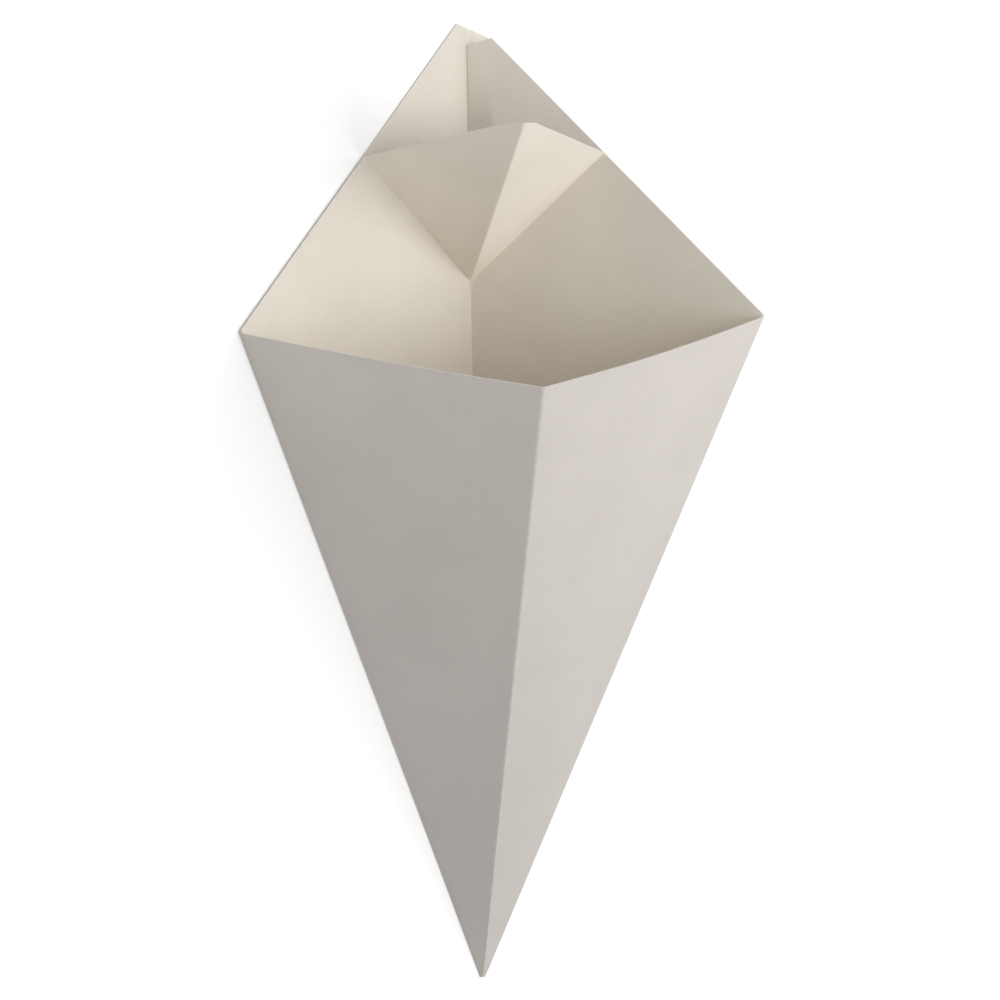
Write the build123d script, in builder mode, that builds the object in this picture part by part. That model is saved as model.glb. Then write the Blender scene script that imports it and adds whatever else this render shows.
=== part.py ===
"""Fry cone folded from white card, with a sauce pocket in its back corner.

The cone is drawn standing on its tip: the tip at the origin, the low front rim towards -Y, the tall
peaked back towards +Y. It can't stand like that, so it is laid on its left back panel at the end.
Every panel is drawn flat, as it is cut: heights run up the panel's middle crease from the tip, and
widths run out from that crease. All sizes are in millimetres and degrees.
"""

import os
from math import acos, asin, cos, degrees, hypot, radians, sin, tan

from build123d import *

# The card
card = 0.35
fold_radius = 0.25

# The four panels, flat
panel_width = 80.0
rim_height = 183.0
peak_height = 265.0

# How far the folded cone is opened, from its front crease to its back crease at the front rim
mouth_depth = 72.3

# The sauce pocket: the inner layer of the back leaves the outer one along two folds
pocket_depth = 72.0
pocket_reach = 37.0
pocket_tip_cut = 3.0

# The cuts across the peak, down the back crease from where the two rims would meet: the left panel's,
# and the right panel's lower one, which bares the end of the lap behind it
left_cut = 4.5
left_cut_slope = 18.0
right_cut = 9.2
right_cut_slope = 15.0
lap_width = 8.0
lap_length = 12.0

# Lean of the middle creases and of the side creases from the upright, for this mouth
side_crease = hypot(panel_width, rim_height)
middle_lean = asin(mouth_depth / 2 / rim_height)
side_lean = acos(rim_height / side_crease / cos(middle_lean))

left_crease = Vector(-sin(side_lean), 0, cos(side_lean))
front_crease = Vector(0, -sin(middle_lean), cos(middle_lean))
back_crease = Vector(0, sin(middle_lean), cos(middle_lean))


def panel_plane(crease, side, from_behind, origin=(0, 0, 0)):
    """Plane of a left-hand panel seen from its outer side, with y up its middle crease.

    `side` runs along the panel's far edge, which is on the right of the drawing from behind.
    """
    across = side - crease * side.dot(crease)
    x_dir = across if from_behind else -across
    return Plane(origin=origin, x_dir=x_dir, z_dir=x_dir.cross(crease))


def mirrored(plane):
    """The same plane on the right-hand side, for cutting only."""
    normal = plane.z_dir
    return Plane(origin=plane.origin, z_dir=(-normal.X, normal.Y, normal.Z))


front_plane = panel_plane(front_crease, left_crease, False)
back_plane = panel_plane(back_crease, left_crease, True)
panel_planes = (front_plane, back_plane, mirrored(front_plane), mirrored(back_plane))

# Half the turn of the card at a side fold and at a middle fold
side_turn = radians(front_plane.z_dir.get_angle(back_plane.z_dir)) / 2
middle_turn = radians(back_plane.z_dir.get_angle(mirrored(back_plane).z_dir)) / 2

# The rounded folds run into each other above the tip, so the tip ends just over that
panel_slant = panel_width / side_crease
folds_meet = tan(middle_turn) * rim_height / side_crease + tan(side_turn)
tip_height = fold_radius * folds_meet / panel_slant + card / 2

# The pocket opens as far as its folds let it: its front mirrors the back about the folds
rim_fall = (peak_height - rim_height) / panel_width
pocket_height = peak_height - pocket_depth
pocket_rise = pocket_depth - pocket_reach * rim_fall
pocket_fold = hypot(pocket_reach, pocket_rise)
fold_along = back_plane.x_dir * (pocket_reach / pocket_fold) + back_crease * (pocket_rise / pocket_fold)
pocket_lean = acos(pocket_rise / pocket_fold / hypot(fold_along.Y, fold_along.Z))
pocket_crease = back_crease.rotate(Axis.X, degrees(2 * pocket_lean))

# The pocket's foot lies on the inner face of the doubled back
inward = back_crease.rotate(Axis.X, 90)
pocket_foot = back_crease * pocket_height + inward * (2 * card / cos(middle_turn))
pocket_plane = panel_plane(pocket_crease, fold_along, False, pocket_foot)

# Reach of the tools past the card, and past the whole cone
spare = 4 * card
beyond = peak_height + panel_width


def cone_space(inset):
    """The room inside the four panels, drawn in by `inset` from their outer faces."""
    with BuildPart() as space:
        Box(2 * beyond, 2 * beyond, beyond, align=(Align.CENTER, Align.CENTER, Align.MIN))
        for plane in panel_planes:
            split(bisect_by=plane.offset(-inset), keep=Keep.BOTTOM)
    return space.part


def cut_point(cut, slope, width):
    """Point at `width` on a cut that starts `cut` down the back crease and rises outwards."""
    return (width, peak_height - cut + width * tan(radians(slope)))


def cut_corner(cut, slope):
    """Where such a cut meets the back rim."""
    return cut_point(cut, slope, cut / (rim_fall + tan(radians(slope))))


def back_rim_tool(cut, slope):
    """What lies above the back rim of the left panel, and above the cut across its peak."""
    with BuildPart() as tool:
        with BuildSketch(back_plane):
            with BuildLine():
                Polyline(
                    (beyond, peak_height - beyond * rim_fall),
                    cut_corner(cut, slope),
                    cut_point(cut, slope, -spare),
                    (-spare, 2 * beyond),
                    (beyond, 2 * beyond),
                    close=True,
                )
            make_face()
        extrude(amount=spare, both=True)
        split(bisect_by=Plane.XZ, keep=Keep.BOTTOM)
        split(bisect_by=Plane.YZ, keep=Keep.BOTTOM)
    return tool.part


# The outer layer, rounded along its four long folds and closed to a blunt tip
with BuildPart() as outside:
    add(cone_space(0))
    split(bisect_by=Plane.XY.offset(tip_height), keep=Keep.TOP)
    fillet(outside.edges().filter_by(Plane.XY, reverse=True), fold_radius)

# What lies above the straight front rim
with BuildPart() as front_rim_tool:
    with BuildSketch(front_plane):
        with BuildLine():
            Polyline(
                (spare, rim_height),
                (-beyond, rim_height),
                (-beyond, 2 * beyond),
                (spare, 2 * beyond),
                close=True,
            )
        make_face()
    extrude(amount=spare, both=True)
    split(bisect_by=Plane.XZ, keep=Keep.TOP)
    split(bisect_by=Plane.YZ, keep=Keep.BOTTOM)
    mirror(about=Plane.YZ)

# The inner layer, glued to the back as far up as the pocket's folds
with BuildPart() as inner_layer:
    with BuildSketch(back_plane.offset(-card)):
        with BuildLine():
            Polyline(
                (-spare, 0),
                (panel_width + spare, 0),
                (panel_width + spare, rim_height - spare * rim_fall),
                (pocket_reach, pocket_height + pocket_rise),
                (0, pocket_height),
                (-spare, pocket_height),
                close=True,
            )
        make_face()
    extrude(amount=-card)
    add(cone_space(card), mode=Mode.INTERSECT)
    split(bisect_by=Plane.YZ, keep=Keep.BOTTOM)
    mirror(about=Plane.YZ)

# The pocket's front: the rest of the inner layer, creased the other way and let into its folds
root_x = card * pocket_rise / pocket_fold
root_y = card * pocket_reach / pocket_fold
past_crease = spare / pocket_reach
with BuildPart() as pocket:
    with BuildSketch(pocket_plane):
        with BuildLine():
            Polyline(
                (-pocket_reach, pocket_rise),
                (-pocket_reach - root_x, pocket_rise - root_y),
                (pocket_reach * past_crease - root_x, -pocket_rise * past_crease - root_y),
                (spare, pocket_depth - pocket_tip_cut),
                (-pocket_tip_cut / rim_fall, pocket_depth - pocket_tip_cut),
                close=True,
            )
        make_face()
    extrude(amount=-card)
    split(bisect_by=Plane.YZ, keep=Keep.BOTTOM)
    mirror(about=Plane.YZ)
    crease_edges = pocket.edges().filter_by_position(Axis.X, -fold_radius / 2, fold_radius / 2)
    fillet(crease_edges.sort_by(Axis.Y)[0], fold_radius)

# The end of the lap: the left panel goes on past the back crease, behind the right panel's lower cut
with BuildPart() as lap_end:
    with BuildSketch(back_plane):
        with BuildLine():
            Polyline(
                cut_corner(left_cut, left_cut_slope),
                cut_point(left_cut, left_cut_slope, -lap_width),
                (card, peak_height - left_cut - lap_length),
                close=True,
            )
        make_face()
    extrude(amount=-card)

with BuildPart() as upright:
    add(outside.part)
    add(cone_space(card), mode=Mode.SUBTRACT)
    add(front_rim_tool.part, mode=Mode.SUBTRACT)
    add(back_rim_tool(left_cut, left_cut_slope), mode=Mode.SUBTRACT)
    add(back_rim_tool(right_cut, right_cut_slope).mirror(Plane.YZ), mode=Mode.SUBTRACT)
    add(inner_layer.part)
    add(pocket.part)
    add(lap_end.part)

# Laid down on the left back panel, with the tip towards -Y and the origin under the middle of it all
rest_plane = Plane(origin=(0, 0, 0), x_dir=-back_plane.x_dir, z_dir=-back_plane.z_dir)
laid = rest_plane.to_local_coords(upright.part)
laid_box = laid.bounding_box()
with BuildPart() as folded_cone:
    add(laid.moved(Location((-laid_box.center().X, -laid_box.center().Y, -laid_box.min.Z))))

folded_cone.part.label = "folded_cone"
os.makedirs("parts", exist_ok=True)
export_step(folded_cone.part, "parts/folded_cone.step")
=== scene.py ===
"""Looks of a fry cone folded from white card, with a sauce pocket in its back corner.

Each layer of card is made as it is by hand: laid out flat around the tip, cut, folded about its
creases and then given the card's thickness. The card lies on its left back panel. On the flat card
a point is placed by a ray from the tip, turned from the back crease, and by its reach along that
ray. A point's level is its share of the way up its ray: 0 at the card's start and 1 at its rim, or
at the pocket's fold, from where it goes on to 2 at the pocket's rim.
"""

from math import acos, asin, atan, atan2, cos, pi, radians, sin, tan

import bmesh
import bpy
from bpy.props import FloatProperty, FloatVectorProperty, PointerProperty
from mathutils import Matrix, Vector


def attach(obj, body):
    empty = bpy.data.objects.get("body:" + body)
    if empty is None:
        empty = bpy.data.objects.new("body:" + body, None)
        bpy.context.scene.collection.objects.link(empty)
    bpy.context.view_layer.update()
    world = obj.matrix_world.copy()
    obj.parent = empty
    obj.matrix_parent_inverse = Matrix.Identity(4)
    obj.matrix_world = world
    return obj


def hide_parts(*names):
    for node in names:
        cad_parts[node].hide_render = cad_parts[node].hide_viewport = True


bl_info = {
    "name": "Fry cone",
    "version": (1, 0, 0),
    "blender": (4, 5, 0),
    "location": "3D View > Sidebar > Fry cone",
    "description": "Folds a card fry cone with a sauce pocket and lights it",
    "category": "Object",
}

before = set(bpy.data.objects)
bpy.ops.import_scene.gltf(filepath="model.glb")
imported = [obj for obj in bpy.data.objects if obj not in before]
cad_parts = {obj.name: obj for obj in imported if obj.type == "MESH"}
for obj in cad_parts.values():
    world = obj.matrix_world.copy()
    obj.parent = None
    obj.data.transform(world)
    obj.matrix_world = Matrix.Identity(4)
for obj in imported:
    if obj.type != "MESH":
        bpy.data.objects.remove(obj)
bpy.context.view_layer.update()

NODE = "folded_cone"
UP = Vector((0, 0, 1))

# Lines of the flat card's net: across a panel, along the rays, and close beside each crease
PANEL_LINES = 10
CONE_ROWS = 66
POCKET_LINES = 7
WALL_ROWS = 44
POCKET_ROWS = 18
CREASE_ROOM = radians(0.4)

# Rounded folds: steps across them, the share of the room beside the crease that they take, in
# percent, and the sharpest turn that is shaded smooth
SIDE_FOLD_STEPS = 6
MIDDLE_FOLD_STEPS = 4
FOLD_SHARE = 50
POCKET_FOLD_SHARE = 22
SMOOTH_ANGLE = radians(35)

# Room between two layers of card, and how near to the same two points of the net are
LAYER_GAP = 0.00004
NEAR = 1e-6

# Where the cuts may reach: down from the peak, in heights of the right cut, and the pocket's tip,
# from this level up
PEAK_ZONE = 3
POCKET_TIP_LEVEL = 1.5

# Power of the level by which a bowed panel stands out more and more towards its rim
BOW_GROWTH = 1.5

# Fibres: their scale, the lie of the three crossed sets, their length over their width, how crooked
# they are and where on the noise they begin and are full. Clouds: the same, and their height
FIBRE_SCALE = 500
STRAND_TURNS = ((0.3, 0.5, 0.4), (-0.4, 0.3, 1.5), (0.2, -0.6, 2.6))
STRAND_LENGTH = 7
STRAND_BEND = 0.6
FIBRE_RANGE = (0.42, 0.75)
CLOUD_SCALE = 40
CLOUD_RANGE = (0.3, 0.7)
CLOUD_HEIGHT = 0.5

# Fold and rim marks: how far the folds' scuffing and painted highlight and the rims' slight
# darkening reach, and the noise that breaks them up
FOLD_REACH = 0.0009
RIM_REACH = 0.004
MARK_NOISE_SCALE = 260
MARK_NOISE_RANGE = (0.35, 0.65)
LEAST_MARK = 0.35

# How much darker or lighter the card is in its clouds, on its fibres, on its folds, where scuffing
# and a painted highlight lighten it, and near its rims
CLOUD_SHADE = 0.95
FIBRE_SHADE = 0.955
FOLD_WEAR_AND_HIGHLIGHT = 1.06
RIM_SHADE = 0.985

# Surface of the card: its sheen, its roughness between the fibres and on them, and its relief
SHEEN = 0.3
SMOOTH_ROUGHNESS = 0.62
FIBRE_ROUGHNESS = 0.8
RELIEF_HEIGHT = 0.00006
FACE_RELIEF = 0.25
EDGE_RELIEF = 0.6


class FryConeCut(bpy.types.PropertyGroup):
    """Sizes of the card as it is cut and creased"""

    card: FloatProperty(
        name="Card",
        description="Thickness of the card",
        default=0.00035,
        precision=5,
        unit="LENGTH",
    )
    panel_width: FloatProperty(
        name="Panel width",
        description="Width of a panel at the front rim",
        default=0.080,
        precision=4,
        unit="LENGTH",
    )
    rim_height: FloatProperty(
        name="Rim height",
        description="From the tip up the front crease to the rim",
        default=0.183,
        precision=4,
        unit="LENGTH",
    )
    peak_height: FloatProperty(
        name="Peak height",
        description="From the tip up the back crease to where the back rims would meet",
        default=0.265,
        precision=4,
        unit="LENGTH",
    )
    mouth_depth: FloatProperty(
        name="Mouth depth",
        description="From the front crease to the back crease at the front rim",
        default=0.0723,
        precision=4,
        unit="LENGTH",
    )
    tip_reach: FloatProperty(
        name="Tip reach",
        description="How far from the point where the folds meet the card begins",
        default=0.0021,
        precision=4,
        unit="LENGTH",
    )
    pocket_depth: FloatProperty(
        name="Pocket depth",
        description="From the peak down the back crease to the foot of the pocket",
        default=0.072,
        precision=4,
        unit="LENGTH",
    )
    pocket_reach: FloatProperty(
        name="Pocket reach",
        description="From the back crease out to the end of a pocket fold",
        default=0.037,
        precision=4,
        unit="LENGTH",
    )
    pocket_tip_cut: FloatProperty(
        name="Pocket tip cut",
        description="How much is cut off the pocket's front crease at its tip",
        default=0.0017,
        precision=4,
        unit="LENGTH",
    )
    pocket_tip_slope: FloatProperty(
        name="Pocket tip slope",
        description="Rise of that cut away from the crease",
        default=radians(-32),
        subtype="ANGLE",
    )
    left_cut: FloatProperty(
        name="Left cut",
        description="From the peak down to the cut across the left panel",
        default=0.0045,
        precision=4,
        unit="LENGTH",
    )
    left_cut_slope: FloatProperty(
        name="Left cut slope",
        description="Rise of the left cut away from the crease",
        default=radians(18),
        subtype="ANGLE",
    )
    right_cut: FloatProperty(
        name="Right cut",
        description="From the peak down to the cut across the right panel",
        default=0.0092,
        precision=4,
        unit="LENGTH",
    )
    right_cut_slope: FloatProperty(
        name="Right cut slope",
        description="Rise of the right cut away from the crease",
        default=radians(15),
        subtype="ANGLE",
    )
    lap_width: FloatProperty(
        name="Lap width",
        description="Width at the peak of the lap that is glued behind the right back panel",
        default=0.008,
        precision=4,
        unit="LENGTH",
    )
    lap_length: FloatProperty(
        name="Lap end",
        description="Length of the lap's end that springs back off the right back panel",
        default=0.022,
        precision=4,
        unit="LENGTH",
    )
    inner_start: FloatProperty(
        name="Inner layer start",
        description="From the tip to where the inner layer begins",
        default=0.014,
        precision=4,
        unit="LENGTH",
    )
    inner_margin: FloatProperty(
        name="Inner layer margin",
        description="From the side folds to the edges of the inner layer",
        default=0.0012,
        precision=4,
        unit="LENGTH",
    )
    inner_set_back: FloatProperty(
        name="Inner layer set-back",
        description="How far the inner layer's rim stays under the outer one's",
        default=0.0002,
        precision=4,
        unit="LENGTH",
    )
    tip_place: FloatVectorProperty(
        name="Tip place",
        description="Where the folds would meet, under the laid cone",
        default=(0.0169965, -0.1315345, 0),
        precision=4,
        subtype="TRANSLATION",
    )


class FryConeFinish(bpy.types.PropertyGroup):
    """How the card bends and what it looks like"""

    front_left_bow: FloatProperty(
        name="Front left bow",
        description="How far the left front panel stands out at its rim",
        default=0.0014,
        precision=5,
        unit="LENGTH",
    )
    front_right_bow: FloatProperty(
        name="Front right bow",
        description="How far the right front panel stands out at its rim",
        default=0.0017,
        precision=5,
        unit="LENGTH",
    )
    wave_height: FloatProperty(
        name="Wave height",
        description="Height of the card's slow waves",
        default=0.0002,
        precision=5,
        unit="LENGTH",
    )
    wave_length: FloatProperty(
        name="Wave length",
        description="Size of the card's slow waves",
        default=0.06,
        unit="LENGTH",
    )
    light_through: FloatProperty(
        name="Light through",
        description="Share of the light that goes into the card and out of either face",
        default=0.25,
        min=0,
        max=1,
        subtype="FACTOR",
    )
    light_spread: FloatProperty(
        name="Light spread",
        description="How far that light runs inside the card",
        default=0.003,
        precision=4,
        unit="LENGTH",
    )
    # The outer face's colour is partly the card's tone and partly painted shade: it is set well
    # darker than the inner face so that the front panel turned from the light comes out dark
    outer_colour_and_shade: FloatVectorProperty(
        name="Outer face",
        description="Colour of the card's outer face",
        default=(0.672, 0.627, 0.585),
        min=0,
        max=1,
        subtype="COLOR",
    )
    inner_colour: FloatVectorProperty(
        name="Inner face",
        description="Colour of the card's inner face",
        default=(0.925, 0.860, 0.748),
        min=0,
        max=1,
        subtype="COLOR",
    )
    edge_colour: FloatVectorProperty(
        name="Cut edge",
        description="Colour of the card's cut edges",
        default=(0.90, 0.87, 0.81),
        min=0,
        max=1,
        subtype="COLOR",
    )


class FryConeStage(bpy.types.PropertyGroup):
    """Floor, light and camera"""

    floor_size: FloatProperty(
        name="Floor size", description="Side of the floor", default=6, unit="LENGTH"
    )
    floor_drop: FloatProperty(
        name="Floor drop",
        description="How far the floor lies under the card",
        default=0.00015,
        precision=5,
        unit="LENGTH",
    )
    floor_colour: FloatVectorProperty(
        name="Floor",
        description="Colour of the floor",
        default=(0.65, 0.65, 0.65),
        subtype="COLOR",
    )
    floor_lift: FloatProperty(
        name="Floor lift",
        description="How much the floor is brightened for the camera",
        default=0.42,
    )
    key_power: FloatProperty(
        name="Key power", description="Power of the main soft light", default=3.85, unit="POWER"
    )
    key_size: FloatProperty(
        name="Key size", description="Side of the main soft light", default=0.5, unit="LENGTH"
    )
    key_place: FloatVectorProperty(
        name="Key place",
        description="Where the main soft light hangs",
        default=(0.40, 0.08, 0.69),
        subtype="TRANSLATION",
    )
    fill_power: FloatProperty(
        name="Fill power",
        description="Power of the weak light on the left",
        default=4,
        unit="POWER",
    )
    fill_size: FloatProperty(
        name="Fill size",
        description="Side of the weak light on the left",
        default=1.4,
        unit="LENGTH",
    )
    fill_place: FloatVectorProperty(
        name="Fill place",
        description="Where the weak light on the left stands",
        default=(-1.20, -0.40, 1.50),
        subtype="TRANSLATION",
    )
    room_strength: FloatProperty(
        name="Room strength", description="Strength of the light from all around", default=0.48
    )
    camera_place: FloatVectorProperty(
        name="Camera place",
        description="Where the camera stands",
        default=(-0.6003835, 0.0973955, 0.68089),
        subtype="TRANSLATION",
    )
    camera_turn: FloatVectorProperty(
        name="Camera turn",
        description="How the camera is turned",
        default=(radians(-5.03629), radians(-42.73409), radians(-1.30900)),
        subtype="EULER",
    )
    camera_lens: FloatProperty(
        name="Lens", description="Focal length on a 36 mm sensor", default=122.729, unit="CAMERA"
    )


def panel_turn(cut):
    """Turn from one crease to the next on the flat card."""
    return atan2(cut.panel_width, cut.rim_height)


def rim_fall(cut):
    """Fall of the back rim for each step away from the back crease."""
    return (cut.peak_height - cut.rim_height) / cut.panel_width


def fold_turns(cut):
    """Turn of the card at the side folds and at the middle folds, for this mouth."""
    middle_lean = asin(cut.mouth_depth / 2 / cut.rim_height)
    side_lean = acos(cos(panel_turn(cut)) / cos(middle_lean))
    at_side = pi - 2 * atan(tan(middle_lean) / sin(side_lean))
    at_middle = pi - 2 * atan(tan(side_lean) / sin(middle_lean))
    return at_side, at_middle


def ray(turn):
    """Direction on the flat card at a turn from the back crease, towards the left."""
    return Vector((-sin(turn), cos(turn), 0))


def back_reach(cut, turn, peak):
    """From the tip to the back rim along a ray, for a rim that starts at `peak`."""
    return peak / (cos(turn) + rim_fall(cut) * sin(abs(turn)))


def cone_reach(cut, turn):
    """From the tip to the rim of the outer layer along a ray."""
    panel = panel_turn(cut)
    if turn < 0:
        return cut.peak_height / cos(turn)
    if turn < panel:
        return back_reach(cut, turn, cut.peak_height)
    if turn < 3 * panel:
        return cut.rim_height / cos(turn - 2 * panel)
    return back_reach(cut, 4 * panel - turn, cut.peak_height)


def spaced(start, end, count):
    """`count` values from start to end, both included."""
    return [start + (end - start) * i / (count - 1) for i in range(count)]


def panel_rays(start, end, count):
    """Turns of the rays over a panel from its first crease, one close beside each crease."""
    return [start] + spaced(start + CREASE_ROOM, end - CREASE_ROOM, count)


def lay_out(name, tip, rays, rows, reach_at, fold_gap):
    """Lays a net flat on the rays and keeps what is known of each point.

    `reach_at` gives a point's reach and level, and `fold_gap` how far the nearest crease is.
    """
    bpy.ops.object.select_all(action="DESELECT")
    bpy.ops.mesh.primitive_grid_add(
        x_subdivisions=len(rays) - 1, y_subdivisions=rows, size=1, calc_uvs=False
    )
    piece = bpy.context.object
    piece.name = piece.data.name = name
    for label, kind in (("lay", "FLOAT_VECTOR"), ("fold_gap", "FLOAT"), ("rim_gap", "FLOAT")):
        piece.data.attributes.new(label, kind, "POINT")
    lay, gap, rim = (piece.data.attributes[label].data for label in ("lay", "fold_gap", "rim_gap"))
    for point in piece.data.vertices:
        row, line = divmod(point.index, len(rays))
        reach, level = reach_at(rays[line], row)
        point.co = tip + ray(rays[line]) * reach
        lay[point.index].vector = (rays[line], reach, level)
        gap[point.index].value = fold_gap(rays[line], reach)
        rim[point.index].value = reach_at(rays[line], rows)[0] - reach
    for material in card_materials():
        piece.data.materials.append(material)
    return piece


def pick(piece, test, kind="VERT"):
    """Selects the points, edges or faces whose every corner passes `test`, in edit mode."""
    bpy.ops.object.mode_set(mode="EDIT")
    bpy.ops.mesh.select_mode(type=kind)
    bpy.ops.mesh.select_all(action="DESELECT")
    net = bmesh.from_edit_mesh(piece.data)
    lay = net.verts.layers.float_vector["lay"]
    for part in {"VERT": net.verts, "EDGE": net.edges, "FACE": net.faces}[kind]:
        corners = [part] if kind == "VERT" else part.verts
        part.select_set(all(test(*corner[lay]) for corner in corners))
    net.select_flush_mode()
    bmesh.update_edit_mesh(piece.data)


def fold(piece, place, axis, turn, test):
    """Turns the picked points about a crease, to the left as seen along its axis."""
    pick(piece, test)
    grip = UP.rotation_difference(axis).to_matrix()
    bpy.ops.transform.rotate(
        value=-turn, orient_axis="Z", orient_matrix=grip, center_override=place
    )


def cut_off(piece, place, normal, test):
    """Cuts the picked faces along a line of the flat card and drops what lies past it."""
    pick(piece, test, "FACE")
    bpy.ops.mesh.bisect(plane_co=place, plane_no=normal, clear_outer=True)


def bow(piece, name, depth, share_at):
    """Lets a panel stand out by `depth`, shared over its points by `share_at`."""
    shares = [share_at(*spot.vector) for spot in piece.data.attributes["lay"].data]
    group = piece.vertex_groups.new(name=name)
    for index, share in enumerate(shares):
        group.add([index], share, "REPLACE")
    push = piece.modifiers.new(name, "DISPLACE")
    push.vertex_group = name
    push.strength = depth
    push.mid_level = 0


def wave(piece, finish):
    """Gives the card its slow waves, the same through both layers."""
    clouds = bpy.data.textures.get("card_waves") or bpy.data.textures.new("card_waves", "CLOUDS")
    clouds.noise_scale = finish.wave_length
    push = piece.modifiers.new("waves", "DISPLACE")
    push.texture = clouds
    push.texture_coords = "LOCAL"
    push.strength = finish.wave_height


def thicken(piece, card):
    """Gives the folded net the card's thickness, on the side away from its faces.

    Where the net is finer than the card is thick, down at the tip, the wall thins with it.
    """
    wall = piece.modifiers.new("card", "SOLIDIFY")
    wall.thickness = card
    wall.offset = -1
    wall.use_even_offset = True
    wall.use_quality_normals = True
    wall.thickness_clamp = 1
    wall.material_offset = 1
    wall.material_offset_rim = 2


def settle(piece):
    """Applies every modifier of a piece, in order, and drops the point groups they used."""
    bpy.ops.object.mode_set(mode="OBJECT")
    for modifier in list(piece.modifiers):
        bpy.ops.object.modifier_apply(modifier=modifier.name)
    piece.vertex_groups.clear()


def round_crease(piece, face_kind, share, steps, test):
    """Rounds the crease edges that lie between two faces of one side of the card.

    `share` is how much of the room beside the crease the round takes, in percent.
    """
    pick(piece, test, "EDGE")
    net = bmesh.from_edit_mesh(piece.data)
    for edge in net.edges:
        if edge.select and any(face.material_index != face_kind for face in edge.link_faces):
            edge.select_set(False)
    bmesh.update_edit_mesh(piece.data)
    bpy.ops.mesh.bevel(
        offset_type="PERCENT", offset_pct=share, segments=steps, affect="EDGES", clamp_overlap=False
    )
    bpy.ops.object.mode_set(mode="OBJECT")


def hand_over(piece):
    """Smooths a finished piece and ties it to the frame."""
    bpy.ops.object.mode_set(mode="OBJECT")
    bpy.ops.object.shade_smooth_by_angle(angle=SMOOTH_ANGLE)
    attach(piece, "root")
    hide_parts(NODE)


def new_group(name, inputs, outputs):
    """An empty shader node group with float sockets, and its two end nodes."""
    group = bpy.data.node_groups.new(name, "ShaderNodeTree")
    for label, value in inputs.items():
        socket = group.interface.new_socket(label, in_out="INPUT", socket_type="NodeSocketFloat")
        socket.default_value = value
    for label in outputs:
        group.interface.new_socket(label, in_out="OUTPUT", socket_type="NodeSocketFloat")
    return group, group.nodes.new("NodeGroupInput"), group.nodes.new("NodeGroupOutput")


def noise(tree, vector, detail, roughness):
    """A noise texture on a vector."""
    texture = tree.nodes.new("ShaderNodeTexNoise")
    texture.inputs["Detail"].default_value = detail
    texture.inputs["Roughness"].default_value = roughness
    tree.links.new(vector, texture.inputs["Vector"])
    return texture


def calculate(tree, operation, *values):
    """A math node on sockets or plain numbers."""
    node = tree.nodes.new("ShaderNodeMath")
    node.operation = operation
    for socket, value in zip(node.inputs, values):
        if isinstance(value, bpy.types.NodeSocket):
            tree.links.new(value, socket)
        else:
            socket.default_value = value
    return node.outputs["Value"]


def fade(tree, value, start, end, low, high):
    """A smooth step of a value from `low` at start to `high` at end."""
    node = tree.nodes.new("ShaderNodeMapRange")
    node.interpolation_type = "SMOOTHSTEP"
    tree.links.new(value, node.inputs["Value"])
    ends = {"From Min": start, "From Max": end, "To Min": low, "To Max": high}
    for label, number in ends.items():
        if isinstance(number, bpy.types.NodeSocket):
            tree.links.new(number, node.inputs[label])
        else:
            node.inputs[label].default_value = number
    return node.outputs["Result"]


def grain_group():
    """Crossed fibres and cloudy mottling of pressed card."""
    tree, start, end = new_group(
        "card_grain",
        {"Fibre Scale": FIBRE_SCALE, "Cloud Scale": CLOUD_SCALE},
        ("Fibre", "Cloud", "Height"),
    )
    place = tree.nodes.new("ShaderNodeTexCoord").outputs["Object"]
    strands = []
    for turn in STRAND_TURNS:
        lie = tree.nodes.new("ShaderNodeMapping")
        lie.vector_type = "TEXTURE"
        lie.inputs["Rotation"].default_value = turn
        lie.inputs["Scale"].default_value = (1, 1 / STRAND_LENGTH, 1 / STRAND_LENGTH)
        tree.links.new(place, lie.inputs["Vector"])
        strand = noise(tree, lie.outputs["Vector"], detail=3, roughness=0.6)
        strand.inputs["Distortion"].default_value = STRAND_BEND
        tree.links.new(start.outputs["Fibre Scale"], strand.inputs["Scale"])
        strands.append(strand.outputs["Fac"])
    fibre = strands[0]
    for strand in strands[1:]:
        fibre = calculate(tree, "MAXIMUM", fibre, strand)
    fibre = fade(tree, fibre, *FIBRE_RANGE, 0, 1)
    cloud = noise(tree, place, detail=5, roughness=0.55)
    tree.links.new(start.outputs["Cloud Scale"], cloud.inputs["Scale"])
    cloudy = fade(tree, cloud.outputs["Fac"], *CLOUD_RANGE, 0, 1)
    tree.links.new(fibre, end.inputs["Fibre"])
    tree.links.new(cloudy, end.inputs["Cloud"])
    height = calculate(tree, "ADD", fibre, calculate(tree, "MULTIPLY", cloudy, CLOUD_HEIGHT))
    tree.links.new(height, end.inputs["Height"])
    return tree


def wear_highlight_and_rim_group():
    """Scuffing and a painted highlight along the folds, and slightly darker rims, from each point's
    distance to them.
    """
    tree, start, end = new_group(
        "card_wear_highlight_and_rim", {"Fold Reach": FOLD_REACH, "Rim Reach": RIM_REACH}, ("Fold", "Rim")
    )
    place = tree.nodes.new("ShaderNodeTexCoord").outputs["Object"]
    rough = noise(tree, place, detail=4, roughness=0.6)
    rough.inputs["Scale"].default_value = MARK_NOISE_SCALE
    broken = fade(tree, rough.outputs["Fac"], *MARK_NOISE_RANGE, LEAST_MARK, 1)
    for label, reach, gap in (("Fold", "Fold Reach", "fold_gap"), ("Rim", "Rim Reach", "rim_gap")):
        known = tree.nodes.new("ShaderNodeAttribute")
        known.attribute_name = gap
        near = fade(tree, known.outputs["Fac"], 0, start.outputs[reach], 1, 0)
        tree.links.new(calculate(tree, "MULTIPLY", near, broken), end.inputs[label])
    return tree


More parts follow.
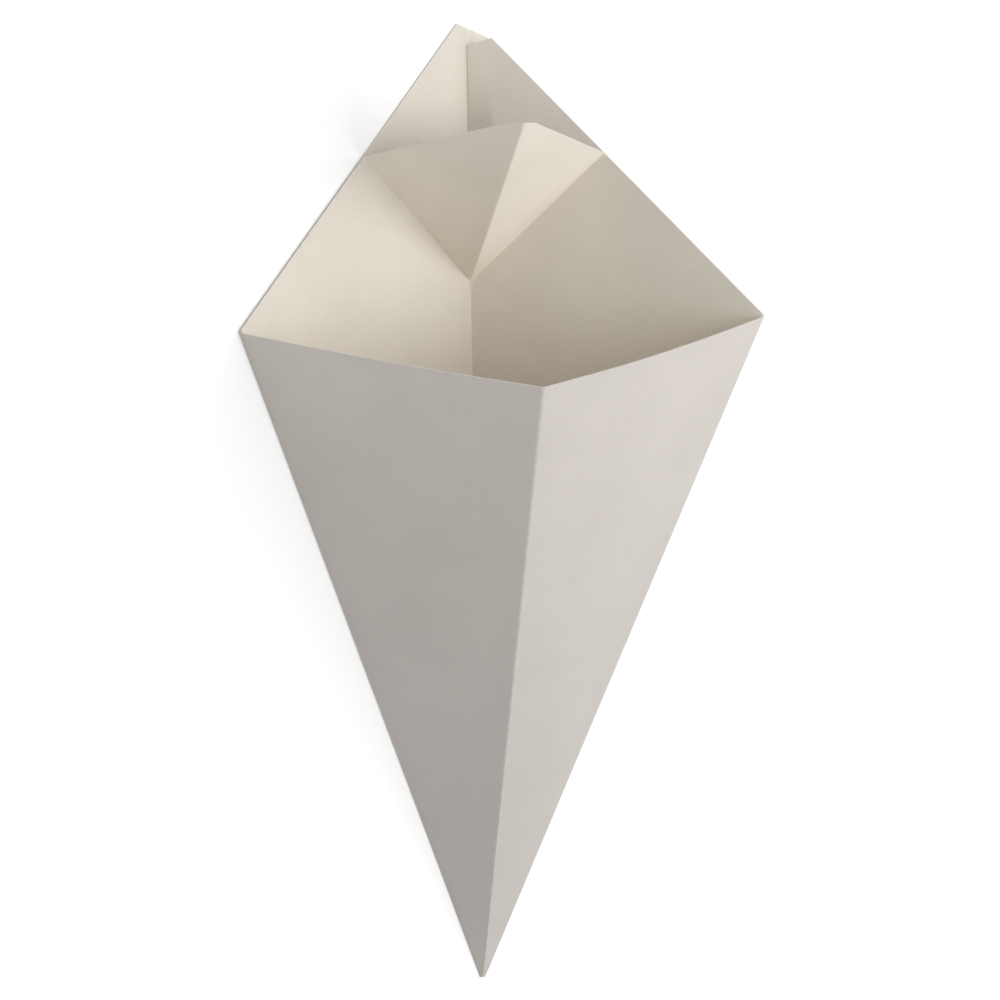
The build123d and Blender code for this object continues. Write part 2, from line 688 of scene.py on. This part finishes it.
def tint(tree, colour, shade, mask):
    """A colour multiplied by a grey shade where the mask is full."""
    node = tree.nodes.new("ShaderNodeMix")
    node.data_type = "RGBA"
    node.blend_type = "MULTIPLY"
    sockets = {socket.identifier: socket for socket in node.inputs}
    tree.links.new(mask, sockets["Factor_Float"])
    if isinstance(colour, bpy.types.NodeSocket):
        tree.links.new(colour, sockets["A_Color"])
    else:
        sockets["A_Color"].default_value = (*colour, 1)
    sockets["B_Color"].default_value = (shade, shade, shade, 1)
    return next(socket for socket in node.outputs if socket.identifier == "Result_Color")


def card_material(name, colour, groups, bump):
    """Uncoated card that lets a little light through, with fibres, mottling, scuffed folds with a
    painted highlight and slightly darker rims.
    """
    finish = bpy.context.scene.fry_cone_finish
    material = bpy.data.materials.new(name)
    material.use_nodes = True
    tree = material.node_tree
    shader = tree.nodes["Principled BSDF"]
    shader.inputs["Specular IOR Level"].default_value = SHEEN
    shader.inputs["Subsurface Weight"].default_value = finish.light_through
    shader.inputs["Subsurface Radius"].default_value = (1, 1, 1)
    shader.inputs["Subsurface Scale"].default_value = finish.light_spread
    grain, wear_highlight_and_rim = (tree.nodes.new("ShaderNodeGroup") for group in groups)
    grain.node_tree, wear_highlight_and_rim.node_tree = groups
    tone = tint(tree, colour, CLOUD_SHADE, grain.outputs["Cloud"])
    tone = tint(tree, tone, FIBRE_SHADE, grain.outputs["Fibre"])
    # The folds are lighter from scuffing and a painted highlight; the rims are slightly darker
    tone = tint(tree, tone, FOLD_WEAR_AND_HIGHLIGHT, wear_highlight_and_rim.outputs["Fold"])
    tone = tint(tree, tone, RIM_SHADE, wear_highlight_and_rim.outputs["Rim"])
    tree.links.new(tone, shader.inputs["Base Color"])
    dull = fade(tree, grain.outputs["Fibre"], 0, 1, SMOOTH_ROUGHNESS, FIBRE_ROUGHNESS)
    tree.links.new(dull, shader.inputs["Roughness"])
    relief = tree.nodes.new("ShaderNodeBump")
    relief.inputs["Strength"].default_value = bump
    relief.inputs["Distance"].default_value = RELIEF_HEIGHT
    tree.links.new(grain.outputs["Height"], relief.inputs["Height"])
    tree.links.new(relief.outputs["Normal"], shader.inputs["Normal"])
    return material


def card_materials():
    """The card's outer face, inner face and cut edge, made once."""
    names = ("outer_card", "inner_card", "card_edge")
    if names[0] not in bpy.data.materials:
        finish = bpy.context.scene.fry_cone_finish
        groups = (grain_group(), wear_highlight_and_rim_group())
        # The outer colour holds painted shade as well as the card's tone
        colours = (finish.outer_colour_and_shade, finish.inner_colour, finish.edge_colour)
        reliefs = (FACE_RELIEF, FACE_RELIEF, EDGE_RELIEF)
        for name, colour, bump in zip(names, colours, reliefs):
            card_material(name, colour, groups, bump)
    return [bpy.data.materials[name] for name in names]


class FRY_CONE_OT_fold_cone(bpy.types.Operator):
    """Cut, fold and thicken the outer layer of card, which makes the four walls and the lap"""

    bl_idname = "fry_cone.fold_cone"
    bl_label = "Fold the cone"

    def execute(self, context):
        cut, finish = context.scene.fry_cone_cut, context.scene.fry_cone_finish
        tip = Vector(cut.tip_place)
        panel = panel_turn(cut)
        at_side, at_middle = fold_turns(cut)
        lap_room = (cut.card + LAYER_GAP) / sin(at_middle) / cut.rim_height
        creases = [-lap_room, panel, 2 * panel, 3 * panel]
        end = 4 * panel - cut.card / sin(at_middle) / cut.peak_height
        rays = [-atan2(cut.lap_width, cut.peak_height), creases[0] - CREASE_ROOM]
        for start, stop in zip(creases, creases[1:] + [end]):
            rays += panel_rays(start, stop, PANEL_LINES)
        rays.append(end)

        def reach_at(turn, row):
            level = row / CONE_ROWS
            return cut.tip_reach + (cone_reach(cut, turn) - cut.tip_reach) * level, level

        def fold_gap(turn, reach):
            return reach * min(abs(sin(turn - crease)) for crease in creases)

        piece = lay_out("cone_sheet", tip, rays, CONE_ROWS, reach_at, fold_gap)

        # The cuts across the peak, made on the flat card
        peak_zone = cut.peak_height - PEAK_ZONE * cut.right_cut
        cut_off(
            piece,
            tip + ray(0) * (cut.peak_height - cut.left_cut),
            ray(-cut.left_cut_slope),
            lambda turn, reach, level: turn < panel / 2 and reach > peak_zone,
        )
        cut_off(
            piece,
            tip + ray(4 * panel) * (cut.peak_height - cut.right_cut),
            ray(4 * panel + cut.right_cut_slope),
            lambda turn, reach, level: turn > 3.5 * panel and reach > peak_zone,
        )
        bpy.ops.object.mode_set(mode="OBJECT")
        for k, name, depth in (
            (1, "front_left", finish.front_left_bow),
            (2, "front_right", finish.front_right_bow),
        ):
            bow(
                piece,
                name,
                depth,
                lambda turn, reach, level: level**BOW_GROWTH * max(0, sin(pi * (turn / panel - k)))
                if k < turn / panel < k + 1
                else 0,
            )

        # The folds, from the far end of the card back to the panel it lies on
        for k, turn in ((3, at_side), (2, at_middle), (1, at_side)):
            fold(piece, tip, ray(creases[k]), turn, lambda at, *rest: at > creases[k] + NEAR)

        # The lap, held to the right back panel up to where its end springs back
        lap_foot = cut.peak_height - cut.left_cut - cut.lap_length
        spring = cut.lap_length / 2
        for row in range(CONE_ROWS + 1):
            sprung = (row / CONE_ROWS * cut.peak_height - lap_foot) / spring
            fold(
                piece,
                tip,
                ray(creases[0]),
                -at_middle * min(1, max(0, 1 - sprung)),
                lambda at, reach, level: at < creases[0] - NEAR and round(level * CONE_ROWS) == row,
            )
        wave(piece, finish)
        thicken(piece, cut.card)
        settle(piece)
        for turns, steps in (
            ((creases[1], creases[3]), SIDE_FOLD_STEPS),
            ((creases[0], creases[2]), MIDDLE_FOLD_STEPS),
        ):
            round_crease(
                piece,
                0,
                FOLD_SHARE,
                steps,
                lambda at, *rest: any(abs(at - turn) < NEAR for turn in turns),
            )
        hand_over(piece)
        return {"FINISHED"}


class FRY_CONE_OT_fold_pocket(bpy.types.Operator):
    """Cut, fold and thicken the inner layer of card, which doubles the back and makes the pocket"""

    bl_idname = "fry_cone.fold_pocket"
    bl_label = "Fold the pocket"

    def execute(self, context):
        cut, finish = context.scene.fry_cone_cut, context.scene.fry_cone_finish
        at_middle = fold_turns(cut)[1]
        panel = panel_turn(cut)

        # The inner layer lies one card in from both back panels. Its rays start up the back crease,
        # so that its edges keep their margin from the side folds
        lift = cut.card + LAYER_GAP
        start = cut.inner_margin / sin(panel)
        tip = Vector(cut.tip_place) + Vector((-lift * tan(at_middle / 2), start, lift))
        peak = cut.peak_height - cut.inner_set_back - start
        foot = cut.peak_height - cut.pocket_depth - start
        rise = peak - cut.pocket_reach * rim_fall(cut) - foot
        fold_lean = atan2(cut.pocket_reach, rise)
        fold_end = atan2(cut.pocket_reach, foot + rise)
        half = [0] + spaced(CREASE_ROOM, fold_end, POCKET_LINES)
        half += spaced(fold_end, panel, POCKET_LINES)[1:]
        rays = [-turn for turn in reversed(half[1:])] + half

        def wall_reach(turn):
            if abs(turn) < fold_end - NEAR:
                return foot * sin(fold_lean) / sin(fold_lean - abs(turn))
            return back_reach(cut, turn, peak)

        def reach_at(turn, row):
            wall = wall_reach(turn)
            if row <= WALL_ROWS:
                level = row / WALL_ROWS
                return cut.inner_start + (wall - cut.inner_start) * level, level
            level = (row - WALL_ROWS) / POCKET_ROWS
            return wall + (back_reach(cut, turn, peak) - wall) * level, 1 + level

        def fold_gap(turn, reach):
            from_fold = reach * sin(fold_lean - abs(turn)) - foot * sin(fold_lean)
            return min(reach * sin(abs(turn)), abs(from_fold))

        piece = lay_out("pocket_sheet", tip, rays, WALL_ROWS + POCKET_ROWS, reach_at, fold_gap)

        # Nothing is left past the rim outside the pocket, and the pocket's tip is cut off
        pick(piece, lambda turn, reach, level: level > 1 + NEAR and abs(turn) > fold_end + NEAR)
        bpy.ops.mesh.delete(type="VERT")
        bpy.ops.mesh.select_all(action="SELECT")
        bpy.ops.mesh.remove_doubles(threshold=NEAR)
        for side in (1, -1):
            cut_off(
                piece,
                tip + ray(0) * (peak - cut.pocket_tip_cut),
                ray(-side * cut.pocket_tip_slope),
                lambda turn, reach, level: level > POCKET_TIP_LEVEL,
            )

        # The pocket's two panels are folded up first, then the right half with its panel
        at_pocket = 2 * atan(tan(at_middle / 2) / cos(fold_lean))
        fold_place = tip + ray(0) * foot
        fold(
            piece,
            fold_place,
            -ray(fold_lean),
            at_pocket,
            lambda turn, reach, level: level > 1 + NEAR and turn > -NEAR,
        )
        fold(
            piece,
            fold_place,
            ray(-fold_lean),
            at_pocket,
            lambda turn, reach, level: level > 1 + NEAR and turn < -NEAR,
        )
        fold(piece, tip, ray(0), -at_middle, lambda turn, *rest: turn < -NEAR)
        wave(piece, finish)
        thicken(piece, cut.card)
        settle(piece)
        round_crease(
            piece,
            1,
            POCKET_FOLD_SHARE,
            MIDDLE_FOLD_STEPS,
            lambda turn, reach, level: abs(turn) < NEAR and level > 1 - NEAR,
        )
        hand_over(piece)
        return {"FINISHED"}


def seen_directly(tree):
    """1 for what the camera sees directly, in a reflection or through glass, and 0 otherwise."""
    path = tree.nodes.new("ShaderNodeLightPath")
    shiny = calculate(
        tree, "MAXIMUM", path.outputs["Is Glossy Ray"], path.outputs["Is Transmission Ray"]
    )
    return calculate(tree, "MAXIMUM", path.outputs["Is Camera Ray"], shiny)


def floor_material(stage):
    """A matt pale floor, brightened for the camera so that it keeps only its shadows."""
    material = bpy.data.materials.new("pale_floor")
    material.use_nodes = True
    tree = material.node_tree
    shader = tree.nodes["Principled BSDF"]
    shader.inputs["Base Color"].default_value = (*stage.floor_colour, 1)
    shader.inputs["Roughness"].default_value = 1
    shader.inputs["Specular IOR Level"].default_value = 0
    shader.inputs["Emission Color"].default_value = (1, 1, 1, 1)
    lift = calculate(tree, "MULTIPLY", seen_directly(tree), stage.floor_lift)
    tree.links.new(lift, shader.inputs["Emission Strength"])
    return material


class FRY_CONE_OT_set_stage(bpy.types.Operator):
    """Lay the floor, hang the light and set up the camera"""

    bl_idname = "fry_cone.set_stage"
    bl_label = "Set the stage"

    def execute(self, context):
        stage = context.scene.fry_cone_stage
        bpy.ops.object.select_all(action="DESELECT")
        bpy.ops.mesh.primitive_plane_add(size=stage.floor_size, location=(0, 0, -stage.floor_drop))
        floor = context.object
        floor.name = floor.data.name = "floor"
        bpy.ops.object.transform_apply(location=True)
        floor.data.materials.append(floor_material(stage))

        for name, place, size, power in (
            ("key_light", stage.key_place, stage.key_size, stage.key_power),
            ("fill_light", stage.fill_place, stage.fill_size, stage.fill_power),
        ):
            aim = Vector(place).to_track_quat("Z", "Y").to_euler()
            bpy.ops.object.light_add(type="AREA", location=place, rotation=aim)
            light = context.object
            light.name = light.data.name = name
            light.data.size = size
            light.data.energy = power

        world = bpy.data.worlds.new("soft_room")
        world.use_nodes = True
        tree = world.node_tree
        background = tree.nodes["Background"]
        background.inputs["Color"].default_value = (1, 1, 1, 1)
        extra = calculate(tree, "MULTIPLY", seen_directly(tree), 1 - stage.room_strength)
        level = calculate(tree, "ADD", extra, stage.room_strength)
        tree.links.new(level, background.inputs["Strength"])
        context.scene.world = world

        bpy.ops.object.camera_add(location=stage.camera_place, rotation=stage.camera_turn)
        camera = context.object
        camera.name = "camera"
        camera.data.lens = stage.camera_lens
        context.scene.camera = camera
        context.scene.view_settings.view_transform = "Standard"
        return {"FINISHED"}


class FRY_CONE_PT_panel(bpy.types.Panel):
    """The fry cone's sizes, colours and steps"""

    bl_idname = "FRY_CONE_PT_panel"
    bl_label = "Fry cone"
    bl_space_type = "VIEW_3D"
    bl_region_type = "UI"
    bl_category = "Fry cone"

    def draw(self, context):
        for step in STEPS:
            self.layout.operator(step.bl_idname)
        for label in SETTINGS:
            settings = getattr(context.scene, label)
            box = self.layout.box()
            for name in settings.__annotations__:
                box.prop(settings, name)


SETTINGS = {
    "fry_cone_cut": FryConeCut,
    "fry_cone_finish": FryConeFinish,
    "fry_cone_stage": FryConeStage,
}
STEPS = (FRY_CONE_OT_fold_cone, FRY_CONE_OT_fold_pocket, FRY_CONE_OT_set_stage)
CLASSES = (*SETTINGS.values(), *STEPS, FRY_CONE_PT_panel)


def register():
    for kind in CLASSES:
        bpy.utils.register_class(kind)
    for label, kind in SETTINGS.items():
        setattr(bpy.types.Scene, label, PointerProperty(type=kind))


def unregister():
    for label in SETTINGS:
        delattr(bpy.types.Scene, label)
    for kind in reversed(CLASSES):
        bpy.utils.unregister_class(kind)


def main():
    register()
    bpy.ops.fry_cone.fold_cone()
    bpy.ops.fry_cone.fold_pocket()
    bpy.ops.fry_cone.set_stage()


if __name__ == "__main__":
    main()
